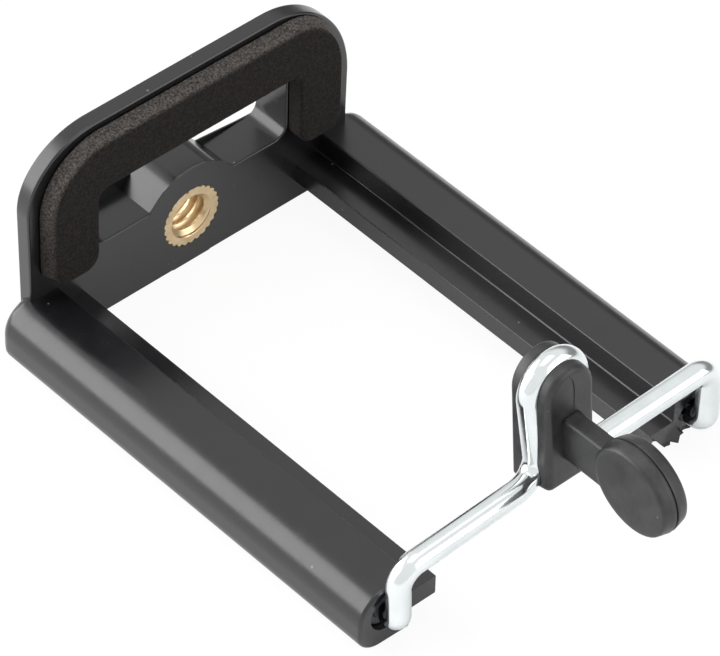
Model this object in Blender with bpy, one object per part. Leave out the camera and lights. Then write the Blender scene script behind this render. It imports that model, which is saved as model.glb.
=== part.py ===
"""Spring clamp holder: a U-shaped plastic body with a foam jaw, and a wire jaw that slides out of its rails.

All sizes are in metres. The origin is under the middle of the bar at the back. X runs
across the two rails, Y from their open ends to the back, and Z up from the surface that
they lie on. The wire jaw is closed.
"""

import math

import bmesh
import bpy
from mathutils import Matrix, Vector

# Fits and facets
FIT_GAP = 0.0003
CUT_MARGIN = 0.001
BORE_FACETS = 24
ARC_FACETS = 5
BEND_FACETS = 6
PLAINEST_ROUND = 4
WIRE_SIDES = 12
SPRING_SIDES = 6

# Rails: two tubes, each with a ledge on its inner side
RAIL_SPACING = 0.050
RAIL_LENGTH = 0.0643
TUBE_HEIGHT = 0.0088
TUBE_OUTER_REACH = 0.00475
TUBE_INNER_REACH = 0.0033
TUBE_TOP_REACH = 0.0008
TUBE_TOP_DROP = 0.0043
TUBE_FLOOR_REACH = 0.0015
TUBE_FLOOR_RISE = 0.0029
TUBE_FLANK_LEAN = 0.0003
WALL_TOP_REACH = 0.0034
WALL_FOOT_REACH = 0.00355
LEDGE_REACH = 0.0077
LEDGE_UNDERSIDE = 0.0028
LEDGE_TOP = 0.0057

# Bores that carry the wire jaw and its springs
BORE_RADIUS = 0.00275
BORE_HEIGHT = 0.0049
BORE_END_WALL = 0.0023

# Back plate, with unequal oval corners, a thick bar and a collar round its window
PLATE_THICKNESS = 0.0023
RAIL_BACK_INSET = 0.00045
PLATE_OVERLAP = 0.001
PLATE_HEIGHT = 0.0320
PLATE_LEFT_CORNER = (0.0109, 0.0095)
PLATE_RIGHT_CORNER = (0.0130, 0.0148)
BAR_HEIGHT = 0.01188
BACK_DEPTH = 0.0062
WINDOW_WIDTH = 0.0315
WINDOW_TOP = 0.0235
WINDOW_CORNER = 0.002
COLLAR_WALL = 0.002

# Brass insert with a camera thread, in a round boss
INSERT_HEIGHT = 0.00756
INSERT_RADIUS = 0.0045
INSERT_TEETH = 30
KNURL_DEPTH = 0.0002
THREAD_RADIUS = 0.0026
MOUTH_RADIUS = 0.00322
MOUTH_DEPTH = 0.0005
BOSS_WALL = 0.0032

# Foam pad, glued on a little off centre
PAD_THICKNESS = 0.0022
PAD_SHIFT = -0.00043
PAD_WIDTH = 0.0480
PAD_TOP_MARGIN = 0.0009
PAD_LEFT_CORNER = (0.0096, 0.0092)
PAD_RIGHT_CORNER = (0.0082, 0.0097)
PAD_BAND = 0.0078
PAD_LEG_FOOT = 0.0113
PAD_LEG_WIDTH = 0.0076
PAD_LEG_ROUND = 0.0022
PAD_INNER_ROUND = 0.0015

# Wire jaw: two legs, two arms that are bent a little out of level, and a hump
WIRE_RADIUS = 0.00155
JAW_OVERHANG = 0.00198
LOWER_BEND = 0.002
UPPER_BEND = 0.0028
LEFT_ARM_RISE = 0.0083
RIGHT_ARM_RISE = 0.0098
ARM_MIDDLE_RISE = 0.0093
HUMP_RADIUS = 0.00375
HUMP_FOOT_HALF = 0.00275
HUMP_HEIGHT = 0.01537
HUMP_STEP = 0.00095
HUMP_STEP_LENGTH = 0.0038
HUMP_FOOT_BEND = 0.0026
HUMP_STEP_BEND = 0.006
HUMP_LEAN = 0.08
LEG_END_CLEARANCE = 0.00565
HEAD_RADIUS = 0.0021
HEAD_LENGTH = 0.0012
HEAD_STEP = 0.00005

# Rubber foot, moulded round the hump, with a stem and an oval pull tab that droops
FOOT_FRONT_COVER = 0.00167
FOOT_BACK_COVER = 0.00126
FOOT_HALF_WIDTH = 0.0041
FOOT_TOP_MARGIN = 0.00072
FOOT_FRONT_DROP = 0.0009
FOOT_BACK_DROP = 0.0019
FOOT_TOE_ROUND = 0.0008
FOOT_EDGE_INSET = 0.0004
STEM_WIDTH = 0.0027
STEM_TOP_RISE = 0.0094
STEM_HEIGHT = 0.0062
STEM_CORNER = 0.0005
TAB_LONG_RADIUS = 0.00642
TAB_SHORT_RADIUS = 0.0054
TAB_TILT = 26.4
TAB_THICKNESS = 0.0040
TAB_CROWN = 0.0003
TAB_EDGE_ROUND = 0.0003
TAB_REACH = 0.01532
TAB_RISE = 0.00668
TAB_FACETS = 40

# Bushes in the bore mouths, springs, and washers at the wire's ends
BUSH_RECESS = 0.001
BUSH_LENGTH = 0.004
WASHER_THICKNESS = 0.001
SPRING_WIRE_RADIUS = 0.00025
SPRING_TURNS = 16
SPRING_STEPS = 12

# Broken end of the right rail: across from its bore, up from the floor, and depth from the end
BREAK_EDGE = (
    (-0.0082, 0.0061, 0.0005),
    (-0.0068, 0.0050, 0.0008),
    (-0.0056, 0.0035, 0.0012),
    (-0.0045, 0.0023, 0.0007),
    (-0.0035, 0.0023, 0.0015),
    (-0.0023, 0.0013, 0.0013),
    (-0.0021, 0.0025, 0.0019),
    (-0.0011, 0.0026, 0.0021),
    (-0.0004, 0.0026, 0.0018),
    (0.0004, 0.0030, 0.0021),
    (0.0015, 0.0024, 0.0019),
    (0.0027, 0.0012, 0.0017),
    (0.0034, -0.0010, 0.0010),
)

# Places that follow from the sizes above
AXIS_X = RAIL_SPACING / 2
PLATE_Y = -BACK_DEPTH / 2
FRONT_Y = PLATE_Y - RAIL_LENGTH
BACK_Y = PLATE_Y + BACK_DEPTH
PLATE_BACK_Y = PLATE_Y + PLATE_THICKNESS
RAIL_BACK_Y = PLATE_BACK_Y - RAIL_BACK_INSET
PLATE_HALF_WIDTH = AXIS_X + PLATE_OVERLAP
ARM_Y = FRONT_Y - JAW_OVERHANG
MIDDLE_Z = BORE_HEIGHT + ARM_MIDDLE_RISE
HUMP_Y = ARM_Y + HUMP_STEP
HUMP_CENTRE_Z = MIDDLE_Z + HUMP_HEIGHT - HUMP_RADIUS
BUSH_Y = FRONT_Y + BUSH_RECESS
BORE_END_Y = RAIL_BACK_Y - BORE_END_WALL
HEAD_Y = BORE_END_Y - LEG_END_CLEARANCE - HEAD_LENGTH
WASHER_Y = HEAD_Y - FIT_GAP - WASHER_THICKNESS
TAB_Y = FRONT_Y - TAB_REACH


def remove_old_objects():
    for old in list(bpy.data.objects):
        bpy.data.objects.remove(old, do_unlink=True)


def surface(name, colour, roughness, metallic=0.0):
    """A plain material; the colour is linear red, green and blue."""
    made = bpy.data.materials.new(name)
    made.use_nodes = True
    shader = made.node_tree.nodes["Principled BSDF"]
    shader.inputs["Base Color"].default_value = (*colour, 1.0)
    shader.inputs["Roughness"].default_value = roughness
    shader.inputs["Metallic"].default_value = metallic
    return made


def arc(centre, radii, start, end, facets=ARC_FACETS):
    """Points on an ellipse's arc between two angles in degrees."""
    step = (end - start) / facets
    angles = [math.radians(start + step * i) for i in range(facets + 1)]
    return [(centre[0] + radii[0] * math.cos(a), centre[1] + radii[1] * math.sin(a)) for a in angles]


def finish_mesh(name, bm, weld=1e-7):
    bmesh.ops.remove_doubles(bm, verts=bm.verts, dist=weld)
    bmesh.ops.recalc_face_normals(bm, faces=bm.faces)
    mesh = bpy.data.meshes.new(name)
    bm.to_mesh(mesh)
    bm.free()
    return mesh


def extruded(name, outline, start, end):
    """A prism of an (x, z) outline, along Y."""
    bm = bmesh.new()
    base = bm.faces.new([bm.verts.new((x, start, z)) for x, z in outline])
    moved = bmesh.ops.extrude_face_region(bm, geom=[base])["geom"]
    bmesh.ops.translate(bm, verts=[v for v in moved if isinstance(v, bmesh.types.BMVert)], vec=(0, end - start, 0))
    return finish_mesh(name, bm)


def lofted(name, front, back):
    """A solid between two loops of 3-D points that have the same count."""
    bm = bmesh.new()
    loops = [[bm.verts.new(point) for point in loop] for loop in (front, back)]
    for loop in loops:
        bm.faces.new(loop)
    for i in range(len(front)):
        j = (i + 1) % len(front)
        bm.faces.new((loops[0][i], loops[0][j], loops[1][j], loops[1][i]))
    bmesh.ops.triangulate(bm, faces=bm.faces)
    return finish_mesh(name, bm)


def turned(name, profile, facets, closed=True):
    """A turned piece round the Y axis, from (radius, y) points."""
    bm = bmesh.new()
    points = [bm.verts.new((radius, y, 0)) for radius, y in profile]
    pairs = list(zip(points, points[1:]))
    if closed:
        pairs.append((points[-1], points[0]))
    edges = [bm.edges.new(pair) for pair in pairs]
    bmesh.ops.spin(
        bm, geom=points + edges, cent=(0, 0, 0), axis=(0, 1, 0), angle=math.tau, steps=facets, use_merge=True
    )
    return finish_mesh(name, bm)


def swept(name, points, radius, sides, swellings=None):
    """A round wire along a line of points; swellings scales its radius at each of them."""
    curve = bpy.data.curves.new(name, "CURVE")
    curve.dimensions = "3D"
    curve.bevel_depth = radius
    curve.bevel_resolution = (sides - PLAINEST_ROUND) // 2
    curve.use_fill_caps = True
    spline = curve.splines.new("POLY")
    spline.points.add(len(points) - 1)
    for i, point in enumerate(points):
        spline.points[i].co = (*point, 1.0)
        spline.points[i].radius = swellings[i] if swellings else 1.0
    carrier = bpy.data.objects.new(name, curve)
    bpy.context.collection.objects.link(carrier)
    bpy.context.view_layer.update()
    evaluated = carrier.evaluated_get(bpy.context.evaluated_depsgraph_get())
    bm = bmesh.new()
    bm.from_mesh(evaluated.to_mesh())
    evaluated.to_mesh_clear()
    bpy.data.objects.remove(carrier)
    bpy.data.curves.remove(curve)
    return finish_mesh(name, bm)


def rounded_path(corners, bends):
    """A line through corners, each turned with its own bend radius; 0 keeps the point as it is."""
    path = [corners[0]]
    for before, corner, after, bend in zip(corners, corners[1:], corners[2:], bends):
        into = (corner - before).normalized()
        out = (after - corner).normalized()
        turn = into.angle(out)
        reach = bend * math.tan(turn / 2)
        sideways = (out - into * into.dot(out)).normalized()
        centre = corner - into * reach + sideways * bend
        for i in range(BEND_FACETS + 1):
            angle = turn * i / BEND_FACETS
            path.append(centre + (into * math.sin(angle) - sideways * math.cos(angle)) * bend)
    return path + [corners[-1]]


def placed(name, mesh, material, location=(0, 0, 0), parent=None):
    """An object with a mesh, its sharp edges kept and its round faces shaded smooth."""
    made = bpy.data.objects.new(name, mesh)
    bpy.context.collection.objects.link(made)
    made.location = location
    if parent:
        made.parent = parent
        made.matrix_parent_inverse = Matrix.Translation(parent.location).inverted()
    if not mesh.materials:
        mesh.materials.append(material)
    mesh.shade_smooth()
    mesh.set_sharp_from_angle(angle=math.radians(35))
    return made


def tool(name, mesh):
    """A shape that only joins or cuts another one."""
    made = bpy.data.objects.new(name, mesh)
    bpy.context.collection.objects.link(made)
    made.hide_render = True
    made.display_type = "WIRE"
    return made


def apply_tool(target, operation, name, mesh):
    modifier = target.modifiers.new(name, "BOOLEAN")
    modifier.operation = operation
    modifier.solver = "EXACT"
    modifier.object = tool(name, mesh)


def rail_outline(side):
    """The section of one rail; side is 1 for the right and -1 for the left."""
    reaches = [
        (-TUBE_INNER_REACH, 0),
        *arc(
            (TUBE_FLOOR_REACH, TUBE_FLOOR_RISE),
            (TUBE_OUTER_REACH - TUBE_FLOOR_REACH, TUBE_FLOOR_RISE),
            270,
            360,
        ),
        *arc(
            (TUBE_TOP_REACH, TUBE_HEIGHT - TUBE_TOP_DROP),
            (TUBE_OUTER_REACH - TUBE_TOP_REACH, TUBE_TOP_DROP),
            0,
            90,
        ),
        (-WALL_TOP_REACH, TUBE_HEIGHT),
        (-WALL_FOOT_REACH, LEDGE_TOP),
        (-LEDGE_REACH, LEDGE_TOP),
        (-LEDGE_REACH, LEDGE_UNDERSIDE),
        (-TUBE_INNER_REACH - TUBE_FLANK_LEAN, LEDGE_UNDERSIDE),
    ]
    return [(side * (AXIS_X + reach), z) for reach, z in reaches]


def top_corners(half_width, top, right, left):
    """The upper edge of a plate, from right to left, with an oval corner at each end."""
    right_centre = (half_width - right[0], top - right[1])
    left_centre = (left[0] - half_width, top - left[1])
    return arc(right_centre, right, 0, 90, 2 * ARC_FACETS) + arc(left_centre, left, 90, 180, 2 * ARC_FACETS)


def plate_outline():
    corners = top_corners(PLATE_HALF_WIDTH, PLATE_HEIGHT, PLATE_RIGHT_CORNER, PLATE_LEFT_CORNER)
    return [(-PLATE_HALF_WIDTH, 0), (PLATE_HALF_WIDTH, 0), *corners]


def back_outline():
    """The bar between the rails, with the window's collar standing on it."""
    bar = AXIS_X - TUBE_INNER_REACH
    collar = WINDOW_WIDTH / 2 + COLLAR_WALL
    collar_top = WINDOW_TOP + COLLAR_WALL
    right = [(bar, 0), (bar, BAR_HEIGHT), (collar, BAR_HEIGHT), (collar, collar_top)]
    return right + [(-x, z) for x, z in reversed(right)]


def window_outline():
    half = WINDOW_WIDTH / 2
    corner = (WINDOW_CORNER, WINDOW_CORNER)
    rows = []
    for z, first in ((BAR_HEIGHT + WINDOW_CORNER, 180), (WINDOW_TOP - WINDOW_CORNER, 0)):
        for turn in (0, 90):
            angle = first + turn
            side = 1 if math.cos(math.radians(angle + 45)) > 0 else -1
            rows += arc((side * (half - WINDOW_CORNER), z), corner, angle, angle + 90)
    return rows


def boss_outline():
    """A circle round the insert, cut off flat where it would pass below the rails."""
    radius = INSERT_RADIUS + FIT_GAP + BOSS_WALL
    low = math.degrees(math.asin(min(1.0, INSERT_HEIGHT / radius)))
    return arc((0, INSERT_HEIGHT), (radius, radius), -low, 180 + low, 2 * BORE_FACETS)


def circle(centre_x, centre_z, radius, facets=BORE_FACETS):
    return arc((centre_x, centre_z), (radius, radius), 0, 360, facets)[:-1]


def broken_end():
    """What the right rail's end has lost: a ragged edge below, with an uneven depth."""
    low = -CUT_MARGIN - CUT_MARGIN
    edge = [(AXIS_X + across, z, depth) for across, z, depth in BREAK_EDGE]
    last_x, _, last_depth = edge[-1]
    first_x, _, first_depth = edge[0]
    loop = edge + [(last_x, low, last_depth), (first_x, low, first_depth)]
    front = [(x, FRONT_Y - CUT_MARGIN, z) for x, z, _ in loop]
    back = [(x, FRONT_Y + depth, z) for x, z, depth in loop]
    return lofted("broken_end", front, back)


def make_body(plastic):
    body = placed("clamp_body", extruded("clamp_body", rail_outline(1), FRONT_Y, RAIL_BACK_Y), plastic)
    apply_tool(body, "UNION", "left_rail", extruded("left_rail", rail_outline(-1), FRONT_Y, RAIL_BACK_Y))
    apply_tool(body, "UNION", "back_plate", extruded("back_plate", plate_outline(), PLATE_Y, PLATE_BACK_Y))
    apply_tool(body, "UNION", "back_bar", extruded("back_bar", back_outline(), PLATE_Y, BACK_Y))
    through = (PLATE_Y - CUT_MARGIN, BACK_Y + CUT_MARGIN)
    apply_tool(body, "DIFFERENCE", "window", extruded("window", window_outline(), *through))
    apply_tool(body, "UNION", "insert_boss", extruded("insert_boss", boss_outline(), PLATE_Y, BACK_Y))
    seat = circle(0, INSERT_HEIGHT, INSERT_RADIUS + FIT_GAP, 2 * BORE_FACETS)
    apply_tool(body, "DIFFERENCE", "insert_seat", extruded("insert_seat", seat, *through))
    for name, side in (("right_bore", 1), ("left_bore", -1)):
        outline = circle(side * AXIS_X, BORE_HEIGHT, BORE_RADIUS)
        bore = extruded(name, outline, FRONT_Y - CUT_MARGIN, BORE_END_Y)
        apply_tool(body, "DIFFERENCE", name, bore)
    apply_tool(body, "DIFFERENCE", "broken_end", broken_end())
    return body


def make_insert(brass):
    """A knurled brass sleeve, flush with both faces of the bar, with a camera thread's bore."""
    insert = placed("threaded_insert", insert_blank(), brass, (0, PLATE_Y, INSERT_HEIGHT))
    flare = MOUTH_RADIUS - THREAD_RADIUS
    bore = turned(
        "thread_bore",
        [
            (0, -CUT_MARGIN),
            (MOUTH_RADIUS + flare * CUT_MARGIN / MOUTH_DEPTH, -CUT_MARGIN),
            (THREAD_RADIUS, MOUTH_DEPTH),
            (THREAD_RADIUS, BACK_DEPTH - MOUTH_DEPTH),
            (MOUTH_RADIUS + flare * CUT_MARGIN / MOUTH_DEPTH, BACK_DEPTH + CUT_MARGIN),
            (0, BACK_DEPTH + CUT_MARGIN),
        ],
        2 * BORE_FACETS,
        closed=False,
    )
    apply_tool(insert, "DIFFERENCE", "thread_bore", bore)
    insert.modifiers["thread_bore"].object.location = insert.location


def insert_blank():
    teeth = []
    for i in range(2 * INSERT_TEETH):
        radius = INSERT_RADIUS - (i % 2) * KNURL_DEPTH
        angle = math.pi * i / INSERT_TEETH
        teeth.append((radius * math.cos(angle), radius * math.sin(angle)))
    return extruded("threaded_insert", teeth, 0, BACK_DEPTH)


def make_pad(foam):
    """An upside-down U of foam in front of the plate."""
    half = PAD_WIDTH / 2
    inner = half - PAD_LEG_WIDTH
    top = PLATE_HEIGHT - PAD_TOP_MARGIN
    band = top - PAD_BAND
    toe = (PAD_LEG_ROUND, PAD_LEG_ROUND)
    knee = (PAD_INNER_ROUND, PAD_INNER_ROUND)
    leg = [
        *arc((inner - PAD_INNER_ROUND, band - PAD_INNER_ROUND), knee, 90, 0),
        *arc((inner + PAD_LEG_ROUND, PAD_LEG_FOOT + PAD_LEG_ROUND), toe, 180, 270),
        *arc((half - PAD_LEG_ROUND, PAD_LEG_FOOT + PAD_LEG_ROUND), toe, 270, 360),
    ]
    corners = top_corners(half, top, PAD_RIGHT_CORNER, PAD_LEFT_CORNER)
    outline = leg + corners + [(-x, z) for x, z in reversed(leg)]
    pad_back = PLATE_Y - FIT_GAP
    mesh = extruded("foam_pad", outline, pad_back - PAD_THICKNESS, pad_back)
    placed("foam_pad", mesh, foam, (PAD_SHIFT, 0, 0))


def hump_point(x, z):
    """A point in the hump's plane, which leans back from its foot."""
    return Vector((x, HUMP_Y + HUMP_LEAN * (z - MIDDLE_Z), z))


def half_jaw(side, arm_rise):
    """Half of the wire's centre line, from the end of its leg to the top of the hump."""
    arm_z = BORE_HEIGHT + arm_rise
    outer_x = side * AXIS_X
    step_x = side * (HUMP_FOOT_HALF + HUMP_STEP_LENGTH)
    corners = [
        Vector((outer_x, HEAD_Y, BORE_HEIGHT)),
        Vector((outer_x, ARM_Y, BORE_HEIGHT)),
        Vector((outer_x, ARM_Y, arm_z)),
        Vector((step_x, ARM_Y, MIDDLE_Z)),
        hump_point(side * HUMP_FOOT_HALF, MIDDLE_Z),
        hump_point(side * HUMP_RADIUS, HUMP_CENTRE_Z),
    ]
    bends = (LOWER_BEND, UPPER_BEND, HUMP_STEP_BEND, HUMP_FOOT_BEND)
    crown = arc((0, HUMP_CENTRE_Z), (side * HUMP_RADIUS, HUMP_RADIUS), 0, 90, 2 * BEND_FACETS)
    return rounded_path(corners, bends) + [hump_point(x, z) for x, z in crown[1:]]


def jaw_line():
    right = half_jaw(1, RIGHT_ARM_RISE)
    left = half_jaw(-1, LEFT_ARM_RISE)
    return right + left[-2::-1]


def make_jaw(steel, slide):
    """The bent wire, with an upset head at the end of each leg."""
    line = jaw_line()
    heads = []
    for end, behind in ((line[0], 1), (line[-1], -1)):
        rows = [end + Vector((0, HEAD_LENGTH, 0)), end + Vector((0, HEAD_STEP, 0))]
        heads.append(rows[::behind])
    swell = HEAD_RADIUS / WIRE_RADIUS
    swellings = [swell] * 2 + [1.0] * len(line) + [swell] * 2
    mesh = swept("wire_jaw", heads[0] + line + heads[1], WIRE_RADIUS, WIRE_SIDES, swellings)
    placed("wire_jaw", mesh, steel, parent=slide)


def foot_loop(half_width, bottom, top, y):
    """An arched outline, leaning like the hump."""
    toe = (FOOT_TOE_ROUND, FOOT_TOE_ROUND)
    toe_x = half_width - FOOT_TOE_ROUND
    toe_z = bottom + FOOT_TOE_ROUND
    outline = arc((-toe_x, toe_z), toe, 180, 270) + arc((toe_x, toe_z), toe, 270, 360)
    outline += arc((0, top - half_width), (half_width, half_width), 0, 180, 4 * ARC_FACETS)
    return [(x, y + HUMP_LEAN * (z - MIDDLE_Z), z) for x, z in outline]


def make_foot(rubber, slide):
    """The rubber moulding: a slab grooved for the wire, a flat stem and a drooping tab."""
    top = HUMP_CENTRE_Z + HUMP_RADIUS + FOOT_TOP_MARGIN
    front = HUMP_Y - WIRE_RADIUS - FOOT_FRONT_COVER
    back = HUMP_Y + WIRE_RADIUS + FOOT_BACK_COVER
    loops = [
        foot_loop(FOOT_HALF_WIDTH - FOOT_EDGE_INSET, MIDDLE_Z - FOOT_FRONT_DROP, top, front),
        foot_loop(FOOT_HALF_WIDTH, MIDDLE_Z - FOOT_BACK_DROP, top, back),
    ]
    foot = placed("rubber_foot", lofted("rubber_foot", *loops), rubber, parent=slide)
    groove = swept("wire_groove", jaw_line(), WIRE_RADIUS + FIT_GAP, WIRE_SIDES)
    apply_tool(foot, "DIFFERENCE", "wire_groove", groove)
    apply_tool(foot, "UNION", "stem", stem_mesh(TAB_Y, front + FOOT_FRONT_COVER))
    apply_tool(foot, "UNION", "pull_tab", tab_mesh())


def stem_mesh(start, end):
    middle_z = MIDDLE_Z + STEM_TOP_RISE - STEM_HEIGHT / 2
    half_x = STEM_WIDTH / 2 - STEM_CORNER
    half_z = STEM_HEIGHT / 2 - STEM_CORNER
    corner = (STEM_CORNER, STEM_CORNER)
    outline = []
    for x, z, first in ((half_x, half_z, 0), (-half_x, half_z, 90), (-half_x, -half_z, 180), (half_x, -half_z, 270)):
        outline += arc((x, middle_z + z), corner, first, first + 90)
    return extruded("stem", outline, start, end)


def tab_mesh():
    """A disc with a crowned rim, turned round Y, stretched to an oval, laid across and tilted."""
    half = TAB_THICKNESS / 2
    side_radius = TAB_SHORT_RADIUS - TAB_CROWN
    rim = [(TAB_SHORT_RADIUS, 0), (side_radius, -half + TAB_EDGE_ROUND), (side_radius - TAB_EDGE_ROUND, -half)]
    profile = [(radius, -y) for radius, y in reversed(rim[1:])] + rim
    mesh = turned("pull_tab", [(0, half), *profile, (0, -half)], TAB_FACETS, closed=False)
    mesh.transform(Matrix.Scale(TAB_LONG_RADIUS / TAB_SHORT_RADIUS, 4, (1, 0, 0)))
    mesh.transform(Matrix.Rotation(math.radians(90), 4, "Z"))
    mesh.transform(Matrix.Rotation(math.radians(TAB_TILT), 4, "X"))
    mesh.transform(Matrix.Translation((0, TAB_Y, MIDDLE_Z + TAB_RISE)))
    return mesh


def spring_line(start, end):
    """A helix round the Y axis."""
    radius = WIRE_RADIUS + FIT_GAP + SPRING_WIRE_RADIUS
    count = SPRING_TURNS * SPRING_STEPS
    line = []
    for i in range(count + 1):
        angle = math.tau * i / SPRING_STEPS
        y = start + (end - start) * i / count
        line.append(Vector((radius * math.cos(angle), y, radius * math.sin(angle))))
    return line


def sleeve(name, length):
    """A ring that fills the bore round the wire, with a running fit on both."""
    inner = WIRE_RADIUS + FIT_GAP
    outer = BORE_RADIUS - FIT_GAP
    return turned(name, [(inner, 0), (outer, 0), (outer, length), (inner, length)], BORE_FACETS)


def make_rail_fittings(plastic, steel, slide):
    """A bush, a spring and a washer in each bore; the washer rides on the wire."""
    bush = sleeve("guide_bush", BUSH_LENGTH)
    washer = sleeve("retaining_washer", WASHER_THICKNESS)
    rest = FIT_GAP + SPRING_WIRE_RADIUS
    line = spring_line(BUSH_Y + BUSH_LENGTH + rest, WASHER_Y - rest)
    spring = swept("spring", line, SPRING_WIRE_RADIUS, SPRING_SIDES)
    for side_name, side in (("right", 1), ("left", -1)):
        x = side * AXIS_X
        placed(f"guide_bush_{side_name}", bush, plastic, (x, BUSH_Y, BORE_HEIGHT))
        placed(f"spring_{side_name}", spring, steel, (x, 0, BORE_HEIGHT))
        placed(f"retaining_washer_{side_name}", washer, steel, (x, WASHER_Y, BORE_HEIGHT), slide)


def make_slide():
    """The point that the sliding pieces hang from, on the joint's axis."""
    slide = bpy.data.objects.new("jaw_slide", None)
    bpy.context.collection.objects.link(slide)
    slide.location = (0, FRONT_Y, BORE_HEIGHT)
    return slide


remove_old_objects()
black_plastic = surface("black_abs", (0.020, 0.020, 0.022), 0.18)
bush_plastic = surface("bush_plastic", (0.030, 0.030, 0.032), 0.45)
dark_foam = surface("dark_foam", (0.022, 0.018, 0.016), 0.95)
yellow_brass = surface("brass", (0.58, 0.38, 0.14), 0.28, 1.0)
chromed_steel = surface("chromed_steel", (0.78, 0.78, 0.80), 0.08, 1.0)
spring_steel = surface("spring_steel", (0.42, 0.42, 0.44), 0.30, 1.0)
black_rubber = surface("black_rubber", (0.045, 0.045, 0.046), 0.60)

jaw_slide = make_slide()
make_body(black_plastic)
make_insert(yellow_brass)
make_pad(dark_foam)
make_jaw(chromed_steel, jaw_slide)
make_foot(black_rubber, jaw_slide)
make_rail_fittings(bush_plastic, spring_steel, jaw_slide)
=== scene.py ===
import math
import random

import bmesh
import bpy
import numpy as np
from mathutils import Matrix, Vector, noise


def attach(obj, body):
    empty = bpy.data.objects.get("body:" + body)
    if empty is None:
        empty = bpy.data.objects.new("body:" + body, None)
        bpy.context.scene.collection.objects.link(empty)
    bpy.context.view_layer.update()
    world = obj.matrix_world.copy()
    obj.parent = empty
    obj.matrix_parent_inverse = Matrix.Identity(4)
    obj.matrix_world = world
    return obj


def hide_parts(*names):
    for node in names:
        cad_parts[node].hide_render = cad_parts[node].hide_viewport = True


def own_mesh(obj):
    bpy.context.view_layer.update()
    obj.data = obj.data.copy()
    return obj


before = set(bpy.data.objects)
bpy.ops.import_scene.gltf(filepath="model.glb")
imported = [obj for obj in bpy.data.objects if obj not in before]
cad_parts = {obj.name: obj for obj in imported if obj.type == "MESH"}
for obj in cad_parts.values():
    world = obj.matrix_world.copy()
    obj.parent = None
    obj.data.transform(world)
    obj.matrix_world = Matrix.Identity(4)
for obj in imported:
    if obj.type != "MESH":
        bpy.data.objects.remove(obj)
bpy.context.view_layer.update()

# Body. One black ABS moulding: two hollow rails with ledges, the plate across their far end, the
# thick bar with its window, and the boss for the brass insert. Injection moulded, so its edges are
# slightly soft. The right rail's end has broken away below its bore.
MM = 0.001  # sizes are written in millimetres, and meshes are in metres
RAIL_X = 25.0
RAIL_END = -67.4
RAIL_BACK = -1.25
LEFT_TRIM = 0.2
BORE_Z = 4.9
BORE_RADIUS = 2.75
BORE_BACK = -3.55
PLATE_FRONT = -3.1
PLATE_BACK = -0.8
PLATE_TOP = 32.0
PLATE_HALF = 26.1
PLATE_FOOT_HALF = 25.75
BAR_TOP = 11.88
BAR_BACK = 3.1
LIP_FRONT = BAR_BACK - 0.4
INSERT_Z = 7.56
BOSS_RADIUS = 8.1
BOSS_FLAT = 7.75
SEAT_RADIUS = 4.4
# The torn edge: how far each point is from the bore's middle, its height, and the tear's depth.
BREAK_EDGE = [
    (-8.2, 6.1, 0.5), (-6.8, 5.0, 0.8), (-5.6, 3.5, 1.2), (-4.5, 2.3, 0.7), (-3.5, 2.3, 1.5),
    (-2.3, 1.3, 1.3), (-2.1, 2.5, 1.9), (-1.1, 2.6, 2.1), (-0.4, 2.6, 1.8), (0.4, 3.0, 2.1),
    (1.5, 2.4, 1.9), (2.7, 1.2, 1.7), (3.4, -1.0, 1.0),
]


def arc(centre, radii, start, end, steps=14):
    """Points on an oval arc between two angles in degrees."""
    angles = [math.radians(start + (end - start) * i / steps) for i in range(steps + 1)]
    return [(centre[0] + radii[0] * math.cos(a), centre[1] + radii[1] * math.sin(a)) for a in angles]


def eased(corners, steps=4):
    """An outline through (x, z, radius) corners, each turned with its radius; 0 keeps the point."""
    outline = []
    for i, (x, z, radius) in enumerate(corners):
        here = Vector((x, z))
        if not radius:
            outline.append((x, z))
            continue
        into = (here - Vector(corners[i - 1][:2])).normalized()
        out = (Vector(corners[(i + 1) % len(corners)][:2]) - here).normalized()
        turn = into.angle(out)
        sideways = (out - into * into.dot(out)).normalized()
        centre = here - into * radius * math.tan(turn / 2) + sideways * radius
        for step in range(steps + 1):
            a = turn * step / steps
            outline.append(tuple(centre + (into * math.sin(a) - sideways * math.cos(a)) * radius))
    return outline


def grown(outline, by):
    """The outline moved outwards by a distance, or by one for each point; negative is inwards."""
    points = np.array(outline)
    sides = np.roll(points, -1, axis=0) - points
    normals = np.stack([sides[:, 1], -sides[:, 0]], axis=1) / np.linalg.norm(sides, axis=1)[:, None]
    before = np.roll(normals, 1, axis=0)
    push = (normals + before) / (1 + (normals * before).sum(axis=1))[:, None]
    turning = np.sign((points[:, 0] * sides[:, 1] - points[:, 1] * sides[:, 0]).sum())
    return points + push * (turning * np.broadcast_to(by, len(points)))[:, None]


def solid(name, loops, hoop=False):
    """A closed mesh through loops of (x, y, z) points in millimetres, all with as many points.

    It has a face on its two ends, or as a hoop it comes back to its first loop."""
    bm = bmesh.new()
    rings = [[bm.verts.new(Vector(point) * MM) for point in loop] for loop in loops]
    if not hoop:
        bm.faces.new(rings[0])
        bm.faces.new(rings[-1])
    for ring, after in zip(rings, rings[1:] + (rings[:1] if hoop else [])):
        for i in range(len(ring)):
            j = (i + 1) % len(ring)
            bm.faces.new((ring[i], ring[j], after[j], after[i]))
    bmesh.ops.recalc_face_normals(bm, faces=bm.faces)
    mesh = bpy.data.meshes.new(name)
    bm.to_mesh(mesh)
    bm.free()
    made = bpy.data.objects.new(name, mesh)
    bpy.context.scene.collection.objects.link(made)
    return made


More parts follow.
